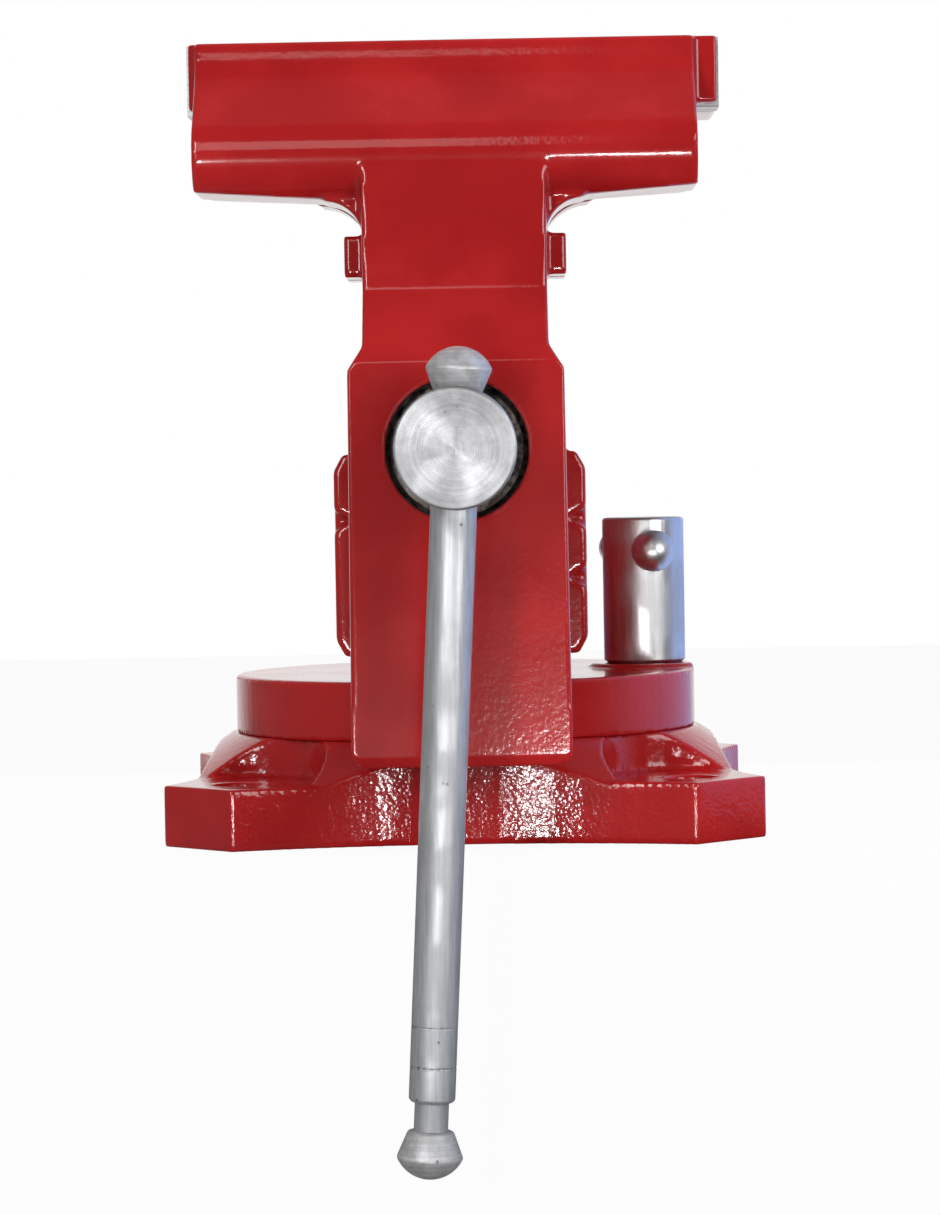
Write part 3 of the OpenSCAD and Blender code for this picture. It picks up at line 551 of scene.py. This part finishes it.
def turned(name, outline, origin, axis, steps=96):
    """A closed mesh from an outline that starts and ends on the axis."""
    axis = Vector(axis).normalized()
    side = axis.orthogonal().normalized()
    other = axis.cross(side)
    work = bmesh.new()
    rings = []
    for radius, along in outline:
        centre_point = origin + axis * along
        if radius < 1e-6:
            rings.append([work.verts.new(centre_point)])
            continue
        angles = [2 * math.pi * k / steps for k in range(steps)]
        rings.append([work.verts.new(centre_point + (side * math.cos(a) + other * math.sin(a)) * radius)
                      for a in angles])
    for first, second in zip(rings, rings[1:]):
        for k in range(steps):
            quad = [first[k % len(first)], first[(k + 1) % len(first)], second[(k + 1) % len(second)],
                    second[k % len(second)]]
            corners = list(dict.fromkeys(quad))
            if len(corners) > 2:
                work.faces.new(corners)
    return finish_mesh(work, name, 40)


def drill(piece, cutter_mesh):
    """Cuts one closed mesh out of a piece."""
    cutter = bpy.data.objects.new("cutter", cutter_mesh)
    bpy.context.scene.collection.objects.link(cutter)
    cut = piece.modifiers.new("hole", "BOOLEAN")
    cut.operation, cut.object, cut.solver = "DIFFERENCE", cutter, "EXACT"
    mesh = settle(piece)
    bpy.data.objects.remove(cutter)
    one_material(mesh, mesh.materials[0])
    mesh.shade_smooth()
    mesh.set_sharp_from_angle(angle=math.radians(35))
    return piece


print("lathe ready")

# %% [markdown]
# ## The handle
#
# The handle is a loose bar with a knob at each end. Each knob stands on a narrow turned neck, opens in a
# cone and closes in a low dome. The bar has two shallow turned lines near its lower end, which the jaws of
# the lathe left.

# %% Turn the handle bar and its two knobs
bar_low, bar_high, bar_radius = reach("handle_bar", handle_origin, handle_axis)
top_low, top_high, knob_radius = reach("handle_knob_upper", handle_origin, handle_axis)
end_low, end_high, _ = reach("handle_knob_lower", handle_origin, handle_axis)
neck_radius = 3.5 * MM
shoulder_high, shoulder_low = bar_high - NECK_LENGTH, bar_low + NECK_LENGTH
line_depth = 0.07 * MM
bar_outline = [(0, bar_low), (neck_radius, bar_low), (neck_radius, shoulder_low), (bar_radius - 0.5 * MM, shoulder_low),
               (bar_radius, shoulder_low + 0.6 * MM)]
for line in LINES:
    at = shoulder_low + line
    bar_outline += [(bar_radius, at - 0.2 * MM), (bar_radius - line_depth, at), (bar_radius, at + 0.2 * MM)]
bar_outline += [(bar_radius, shoulder_high - 0.6 * MM), (bar_radius - 0.5 * MM, shoulder_high),
                (neck_radius, shoulder_high),
                (neck_radius, bar_high), (0, bar_high)]
handle_bar = link_piece("handle_rod",
                        turned("handle_rod", soften(bar_outline, 0.25 * MM), handle_origin, handle_axis),
                        handle_steel)
place(handle_bar, "handle", "handle_steel", "handle_bar")


def knob_outline(start, end, base_radius, radius, dome_height):
    """From the neck outwards: a cone and a dome."""
    sign = 1 if end > start else -1
    shoulder = end - sign * dome_height
    ball = (radius ** 2 + dome_height ** 2) / (2 * dome_height)
    dome = [(ball * math.sin(a), end - sign * (ball - ball * math.cos(a)))
            for a in [math.asin(radius / ball) * (1 - k / 10) for k in range(1, 11)]]
    return [(0, start), (base_radius, start), (radius, shoulder), *dome]


knob_dome = 4.5 * MM
knob_base = 4.7 * MM
upper_outline = soften(knob_outline(top_low, top_high, knob_base, knob_radius, knob_dome), 0.5 * MM)
upper_knob = link_piece("handle_knob_top", turned("handle_knob_top", upper_outline, handle_origin, handle_axis),
                        knob_steel)
place(upper_knob, "handle", "handle_steel", "handle_knob_upper")
lower_outline = soften(knob_outline(end_high, end_low, knob_base, knob_radius, knob_dome), 0.5 * MM)
lower_knob = link_piece("handle_knob_end", turned("handle_knob_end", lower_outline, handle_origin, handle_axis),
                        knob_steel)
place(lower_knob, "handle", "handle_steel", "handle_knob_lower")
print("handle bar is", round((shoulder_high - shoulder_low) / MM, 1), "mm long and", round(2 * bar_radius / MM, 2),
      "mm thick")

# %% [markdown]
# ## The spindle
#
# The head is a thick turned cylinder with a cross hole for the handle, and a coned mouth at each end of
# the hole. Behind it runs a trapezoidal thread with one start and a 5 mm lead. The thread is a grid of
# points round and along the axis, and each point's radius depends on where it lies in its turn.

# %% Turn and drill the head
head_radius = (spindle_box[1].x - spindle_box[0].x) / 2
head_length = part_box("thrust_washer")[0].y - spindle_box[0].y
head_outline = [(0, 0), (head_radius - 0.4 * MM, 0), (head_radius, 0.4 * MM), (head_radius, head_length - 0.5 * MM),
                (head_radius - 0.5 * MM, head_length), (0, head_length)]
head = link_piece("spindle_head",
                  turned("spindle_head", soften(head_outline, 0.3 * MM), spindle_face, spindle_axis, 128),
                  turned_steel)
hole_radius, mouth = bar_radius + 0.4 * MM, head_radius - 2.4 * MM
cone_length, cone_radius = 9 * MM, hole_radius + 7.5 * MM
hole_outline = [(0, -mouth - cone_length), (cone_radius, -mouth - cone_length), (hole_radius, -mouth),
                (hole_radius, mouth),
                (cone_radius, mouth + cone_length), (0, mouth + cone_length)]
drill(head, turned("hole", hole_outline, handle_origin, handle_axis, 64))
place(head, "spindle", "turned_steel", "spindle_screw")
print("spindle head is", round(2 * head_radius / MM, 1), "mm across and", round(head_length / MM, 1), "mm long")

# %% Cut the thread
LEAD = 5 * MM
shank_radius = 7.5 * MM
thread_depth = 1.6 * MM
thread_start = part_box("retaining_pin")[1].y + 2.6 * MM
thread_end = spindle_box[1].y - 3 * MM


def thread_radius(y, angle):
    """Radius of the thread's surface at a place along the axis and an angle round it."""
    turn = ((y - thread_start) / LEAD - angle / (2 * math.pi)) % 1.0
    cut = min(max((turn - 0.40) / 0.09, 0), 1) * min(max((0.99 - turn) / 0.09, 0), 1)
    fade = min(max((y - thread_start) / (4 * MM), 0), 1) * min(max((thread_end + 1 * MM - y) / (2 * MM), 0), 1)
    return shank_radius - thread_depth * cut * fade


def thread_mesh():
    steps, pitch = 48, 0.25 * MM
    first, last = spindle_box[0].y + head_length - 0.5 * MM, spindle_box[1].y
    stations = [first, *[thread_start + pitch * k for k in range(int((thread_end - thread_start) / pitch) + 1)],
                thread_end + 1 * MM, last]
    work = bmesh.new()
    rings = []
    for y in stations:
        ring = []
        for k in range(steps):
            a = 2 * math.pi * k / steps
            r = thread_radius(y, a) if y < last else shank_radius - 2 * MM
            ring.append(work.verts.new((spindle_face.x + r * math.cos(a), y, spindle_face.z + r * math.sin(a))))
        rings.append(ring)
    for one, two in zip(rings, rings[1:]):
        for k in range(steps):
            work.faces.new([one[k], one[(k + 1) % steps], two[(k + 1) % steps], two[k]])
    work.faces.new(rings[0])
    work.faces.new(rings[-1])
    return finish_mesh(work, "spindle_thread", 50)


thread = place(link_piece("spindle_thread", thread_mesh(), thread_steel), "spindle", "turned_steel")
print("thread has", round((thread_end - thread_start) / LEAD, 1), "turns and", len(thread.data.vertices), "points")

# %% [markdown]
# ## The spring behind the front wall
#
# A light spring keeps the spindle's head on its seat, so that the jaw follows the spindle outwards. It is a helix of
# round wire, with an even pitch from end to end. A swept circle along the helix gives it a true round wire, which the
# CAD model keeps coarse.

# %% Wind the spring
spring_low, spring_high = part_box("spindle_spring")
wire_radius = 0.9 * MM
coil_radius = (spring_high.x - spring_low.x) / 2 - wire_radius


def spring_mesh():
    coils, steps, sides = 4, 48, 14
    first, last = spring_low.y + wire_radius, spring_high.y - wire_radius
    work = bmesh.new()
    rings = []
    for i in range(coils * steps + 1):
        a = 2 * math.pi * i / steps
        rise = first + (last - first) * i / (coils * steps)
        outward = Vector((math.cos(a), 0, math.sin(a)))
        wire_centre = Vector((spindle_face.x, rise, spindle_face.z)) + outward * coil_radius
        rings.append([work.verts.new(wire_centre + (outward * math.cos(b) + spindle_axis * math.sin(b)) * wire_radius)
                      for b in [2 * math.pi * k / sides for k in range(sides)]])
    for one, two in zip(rings, rings[1:]):
        for k in range(sides):
            work.faces.new([one[k], one[(k + 1) % sides], two[(k + 1) % sides], two[k]])
    work.faces.new(rings[0])
    work.faces.new(rings[-1])
    return finish_mesh(work, "return_spring", 60)


place(link_piece("return_spring", spring_mesh(), zinc_steel), "spindle", "zinc_steel", "spindle_spring")
print("spring is", round(2 * (coil_radius + wire_radius) / MM, 1), "mm across")

# %% [markdown]
# ## The swivel lock
#
# The lock bolt is a tall plated cylinder on the turntable. A short cross bar with a domed knob at each end
# slides through it, and one knob lies against its front. The bolt's hole is drilled along the bar, and
# its rim stays crisp.

# %% Turn the lock bolt and its cross bar
bolt_low, bolt_high, bolt_radius = reach("lock_bolt", lock_origin, lock_axis)
bolt_foot = max(v.co.z for v in frame["nodes"]["body_casting"].data.vertices
                if (v.co.xy - lock_origin.xy).length < bolt_radius)
stud_radius = 4 * MM
bolt_outline = [(0, bolt_low), (stud_radius, bolt_low), (stud_radius, bolt_foot), (bolt_radius - 0.8 * MM, bolt_foot),
                (bolt_radius, bolt_foot + 0.6 * MM), (bolt_radius, bolt_high - 0.5 * MM),
                (bolt_radius - 0.5 * MM, bolt_high), (0, bolt_high)]
lock_bolt = link_piece("lock_bolt_head",
                       turned("lock_bolt_head", soften(bolt_outline, 0.25 * MM), lock_origin, lock_axis, 128),
                       lock_steel)
cross_low, cross_high, cross_radius = reach("lock_bar", cross_origin, cross_axis)
half, cross_hole = bolt_radius + 5 * MM, cross_radius + 0.3 * MM
hole = [(0, -half), (cross_hole, -half), (cross_hole, half), (0, half)]
drill(lock_bolt, turned("hole", hole, cross_origin, cross_axis, 64))
place(lock_bolt, "lock_screw", "lock_steel", "lock_bolt")
cross_outline = soften([(0, cross_low), (cross_radius, cross_low), (cross_radius, cross_high), (0, cross_high)],
                       0.2 * MM)
cross_bar = link_piece("lock_cross_bar", turned("lock_cross_bar", cross_outline, cross_origin, cross_axis), lock_steel)
place(cross_bar, "cross_bar", "lock_steel", "lock_bar")
for node, name in (("lock_knob_front", "lock_knob_near"), ("lock_knob_rear", "lock_knob_far")):
    low, high, radius = reach(node, cross_origin, cross_axis)
    start, end = (low, high) if abs(low) < abs(high) else (high, low)
    outline = knob_outline(start, end, radius - 0.5 * MM, radius, 3.0 * MM)
    outline.insert(2, (radius, start + math.copysign(0.5 * MM, end - start)))
    knob = link_piece(name, turned(name, soften(outline, 0.3 * MM), cross_origin, cross_axis), lock_steel)
    place(knob, "cross_bar", "lock_steel", node)
print("lock bolt stands", round((bolt_high - bolt_foot) / MM, 1), "mm above the turntable's boss")

# %% [markdown]
# ## Jaw plates with a grip
#
# The hardened plates that meet the work are milled with crossed grooves. The grip face is a fine grid
# whose points sink where two sets of slanting grooves cross it. The screws' counterbores are then cut
# through it.

# %% Mill the two jaw plates
GROOVE_PITCH = 2.4 * MM
GROOVE_DEPTH = 0.45 * MM
HEAD_HOLE, HEAD_DEPTH, SHANK_HOLE, PAST = 5.8 * MM, 3.4 * MM, 3.3 * MM, 8 * MM


def grip_depth(x, z):
    """Depth of the milled grip at a place on the plate: two sets of slanting V grooves."""
    def groove(value):
        return max(0.0, 1 - abs((value / GROOVE_PITCH) % 1.0 - 0.5) * 5)
    return GROOVE_DEPTH * max(groove((x + z) / math.sqrt(2)), groove((x - z) / math.sqrt(2)))


def plate_mesh(name, low, high, grip_y, back_y):
    columns, rows = ((300, 44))
    work = bmesh.new()
    margin = 0.6 * MM
    front, back = [], []
    for j in range(rows + 1):
        z = low.z + (high.z - low.z) * j / rows
        row_front, row_back = [], []
        for i in range(columns + 1):
            x = low.x + (high.x - low.x) * i / columns
            from_edge = min(x - low.x, high.x - x, z - low.z, high.z - z)
            depth = grip_depth(x, z) if from_edge > margin else 0.35 * MM * (1 - from_edge / margin)
            row_front.append(work.verts.new((x, grip_y + math.copysign(depth, back_y - grip_y), z)))
            row_back.append(work.verts.new((x, back_y, z)) if i in (0, columns) or j in (0, rows) else None)
        front.append(row_front)
        back.append(row_back)
    for j in range(rows):
        for i in range(columns):
            work.faces.new([front[j][i], front[j][i + 1], front[j + 1][i + 1], front[j + 1][i]])
    rim = [(j, 0) for j in range(rows)] + [(rows, i) for i in range(columns)]
    rim += [(j, columns) for j in range(rows, 0, -1)] + [(0, i) for i in range(columns, 0, -1)]
    for (j, i), (jj, ii) in zip(rim, rim[1:] + rim[:1]):
        work.faces.new([front[j][i], front[jj][ii], back[jj][ii], back[j][i]])
    work.faces.new([back[j][i] for j, i in rim])
    return finish_mesh(work, name)


for node, screws, grip_side in (("front_jaw_plate", "front_jaw_screws", 1), ("rear_jaw_plate", "rear_jaw_screws", -1)):
    low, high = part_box(node)
    grip_y, back_y = (high.y, low.y) if grip_side > 0 else (low.y, high.y)
    plate = link_piece(node + "_milled", plate_mesh(node + "_milled", low, high, grip_y, back_y), plate_steel)
    screw_low, screw_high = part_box(screws)
    screw_z, screw_x = (screw_low.z + screw_high.z) / 2, screw_high.x - 5.5 * MM
    for x in (-screw_x, screw_x):
        sink = [(0, -PAST), (HEAD_HOLE, -PAST), (HEAD_HOLE, HEAD_DEPTH), (SHANK_HOLE, HEAD_DEPTH), (SHANK_HOLE, PAST),
                (0, PAST)]
        drill(plate, turned("sink", sink, Vector((x, grip_y, screw_z)), Vector((0, -grip_side, 0)), 48))
    place(plate, "front_jaw" if grip_side > 0 else "vise_body", "jaw_steel", node)
    print(plate.name, "has", len(plate.data.polygons), "faces")

# %% [markdown]
# ## Finishes for the parts that stay as they are
#
# Screws, washers, the nut and the pivot bolt have the right shape already. Each one keeps its CAD mesh and
# gets a finish in place of the plain one it came with.

# %% Give the small parts their steels
for node, material in {
    "pivot_bolt": zinc_steel, "pivot_washer": zinc_steel, "nut_bolt": zinc_steel, "spring_washer": zinc_steel,
    "retaining_pin": zinc_steel, "rear_jaw_screws": black_steel, "front_jaw_screws": black_steel,
    "lock_tee_nut": black_steel, "spindle_nut": nut_iron, "thrust_washer": oiled_steel,
}.items():
    mesh = frame["nodes"][node].data
    if not mesh.materials:
        mesh.materials.append(material)
    for index in range(len(mesh.materials)):
        mesh.materials[index] = material
print("CAD parts dressed")

# %% [markdown]
# ## What the vise mirrors
#
# Glossy enamel and steel show the room round them. One node group says how bright and how blue that room
# looks along a direction: white behind the vise, dim in front of it, a grey ceiling and left wall, and a
# cool blue window on the right, which gives steel and enamel their cool right edges. The floor and the
# world both use it, so that a reflection doesn't change where the floor ends.

# %% Build the room group
room, room_in, room_out = new_group("room_light", {"X": 0.0, "Y": 0.0, "Z": 0.0}, ["Bright", "Blue"])
wall_behind = ramp(room, room_in.outputs["Y"], 0.55, 0.95, 0.03, 0.97)
wall_left = ramp(room, room_in.outputs["X"], -0.25, -0.6, 0.0, 0.22)
above_floor = ramp(room, room_in.outputs["Z"], -0.05, 0.05, 0.0, 0.06)
ceiling = combine(room, "ADD", above_floor, ramp(room, room_in.outputs["Z"], 0.25, 0.8, 0.0, 0.05))
window = combine(room, "MULTIPLY", ramp(room, room_in.outputs["X"], 0.25, 0.55),
                 ramp(room, room_in.outputs["Y"], -0.6, 0.2))
room.links.new(brightest(room, wall_behind, wall_left, ceiling, window), room_out.inputs["Bright"])
room.links.new(window, room_out.inputs["Blue"])
WHITE, BLUE = (1, 1, 1, 1), (0.48, 0.64, 1.15, 1)


def look_up(tree, direction):
    """Places the room group, feeds it a direction and returns how bright and how blue the room is there."""
    axes = add(tree, "SeparateXYZ", {0: direction})
    node = use_group(tree, room)
    for axis in "XYZ":
        tree.links.new(axes.outputs[axis], node.inputs[axis])
    return node.outputs["Bright"], node.outputs["Blue"]


print("group", room.name, "has", len(room.nodes), "nodes")

# %% [markdown]
# ## The stage
#
# The handle hangs lower than the vise's base, as over a bench's front edge. So the base stands on a plain
# white block, and the block stands on a white floor that reaches below the handle. For the camera both are
# mostly a plain white, and part of their shading stays, which keeps the shadow. For mirror reflections
# they are as bright as the room in their direction.

# %% Build the floor, the block and the backdrop
def stage_white(name, albedo, own_light):
    material, tree, shader = new_material(name)
    tree.nodes.remove(shader)
    path = add(tree, "LightPath")
    mirrored = brightest(tree, path.outputs["Is Glossy Ray"], path.outputs["Is Transmission Ray"])
    seen = brightest(tree, path.outputs["Is Camera Ray"], mirrored)
    direction = add(tree, "VectorMath", {0: add(tree, "NewGeometry").outputs["Position"]},
                    operation="NORMALIZE").outputs[0]
    bright, blue = look_up(tree, direction)
    paper = add(tree, "BsdfDiffuse", {"Color": (albedo, albedo, albedo, 1)})
    glow = add(tree, "Emission", {"Color": blend_colours(tree, combine(tree, "MULTIPLY", mirrored, blue), WHITE, BLUE),
                                  "Strength": add(tree, "Mix", {0: mirrored, 2: 1.0, 3: bright}).outputs[0]})
    both = add(tree, "MixShader",
               {0: combine(tree, "MULTIPLY", seen, own_light), 1: paper.outputs[0], 2: glow.outputs[0]})
    tree.links.new(both.outputs[0], tree.nodes["Material Output"].inputs["Surface"])
    return material


def block(name, low, high, edge):
    """A stage block with rounded edges."""
    work = bmesh.new()
    bmesh.ops.create_cube(work, size=1.0)
    size = Vector(high) - Vector(low)
    bmesh.ops.scale(work, vec=size, verts=work.verts)
    bmesh.ops.translate(work, vec=(Vector(low) + Vector(high)) / 2, verts=work.verts)
    bmesh.ops.bevel(work, geom=work.edges, offset=edge, segments=4, affect="EDGES", profile=0.5)
    mesh = bpy.data.meshes.new(name)
    work.to_mesh(mesh)
    work.free()
    mesh.shade_smooth()
    return mesh


floor_z = cad_box[0].z - 35 * MM
white = stage_white("studio_white", 0.60, 0.95)
plinth = link_piece("bench_block", block("bench_block", (-0.16, -0.0705, floor_z), (0.16, 0.16, 0.0), 1.5 * MM), white)
floor = link_piece("studio_floor", block("studio_floor", (-3, -3, floor_z - 0.02), (3, 3, floor_z), 5 * MM), white)
print("floor lies", round(-floor_z / MM, 1), "mm below the bench block's top")

# %% [markdown]
# ## Light
#
# A large softbox above and two in front give an even, plain level of light. The one above is hidden from
# mirror reflections, so that it leaves no bar on the enamel. Three small cards near the camera are seen
# only in reflections: they make the glints, which break up on the grain of the castings.

# %% Hang the softboxes
def softbox(name, place_at, target, width, height, power, mirrored=True, lit=True):
    """An area lamp. mirrored says if glossy surfaces show it, and lit if it lights plain surfaces."""
    data = bpy.data.lights.new(name, "AREA")
    data.shape, data.size, data.size_y, data.energy = "RECTANGLE", width, height, power
    lamp = bpy.data.objects.new(name, data)
    lamp.location = place_at
    lamp.rotation_euler = (Vector(target) - Vector(place_at)).to_track_quat("-Z", "Y").to_euler()
    lamp.visible_glossy, lamp.visible_diffuse = mirrored, lit
    bpy.context.scene.collection.objects.link(lamp)
    return lamp


aim, base_front = (0, -0.02, 0.08), (0, -0.06, 0.01)
softbox("overhead_softbox", (0.0, 0.20, 0.85), aim, 1.0, 0.6, 5.5, mirrored=False)
softbox("left_softbox", (-0.40, -0.95, 0.38), aim, 0.16, 0.6, 4.0)
softbox("right_softbox", (0.62, -0.80, 0.28), aim, 0.40, 0.5, 4.2)
softbox("left_low_card", (-0.168, -0.95, -0.12), base_front, 0.07, 0.14, 2.8, lit=False)
softbox("right_low_card", (0.088, -0.95, -0.13), base_front, 0.11, 0.14, 4.4, lit=False)
softbox("glint_card", (-0.10, -0.95, 0.54), aim, 0.24, 0.30, 0.50, lit=False)

# %% Set the world
world = bpy.data.worlds.new("studio_world")
bpy.context.scene.world = world
world.use_nodes = True
sky = world.node_tree
sky.nodes.clear()
bright, blue = look_up(sky, add(sky, "TexCoord").outputs["Generated"])
path = add(sky, "LightPath")
mirrored = combine(sky, "SUBTRACT", 1.0, brightest(sky, path.outputs["Is Camera Ray"], path.outputs["Is Diffuse Ray"]))
plain = add(sky, "Mix", {0: path.outputs["Is Diffuse Ray"], 2: 1.0, 3: 0.36}).outputs[0]
level = add(sky, "Mix", {0: mirrored, 2: plain, 3: bright}).outputs[0]
colour = blend_colours(sky, combine(sky, "MULTIPLY", mirrored, blue), WHITE, BLUE)
background = add(sky, "Background", {"Color": colour, "Strength": level})
sky.links.new(background.outputs[0], add(sky, "OutputWorld").inputs["Surface"])
bpy.context.scene.view_settings.view_transform = "Standard"
print("world set")

# %% [markdown]
# ## Camera
#
# The vise is seen from straight ahead, a little right of the middle and just below the spindle's axis,
# with a long lens. The camera looks down by two degrees and leans by one.

# %% Place the camera
camera_data = bpy.data.cameras.new("camera")
camera_data.lens, camera_data.sensor_width, camera_data.sensor_fit = 115.6, 36.0, "AUTO"
camera_data.clip_start, camera_data.clip_end = 0.05, 20.0
camera = bpy.data.objects.new("camera", camera_data)
bpy.context.scene.collection.objects.link(camera)
tilt_down, pan_left, lean = 1.973, 0.558, -1.0
turn = Matrix.Rotation(math.radians(pan_left), 4, "Z") @ Matrix.Rotation(math.radians(90 - tilt_down), 4, "X") \
    @ Matrix.Rotation(math.radians(lean), 4, "Z")
camera.matrix_world = Matrix.Translation((10 * MM, -887 * MM, 79.3 * MM)) @ turn
bpy.context.scene.camera = camera
print("camera stands", round(-camera.location.y, 3), "m in front of the swivel axis")
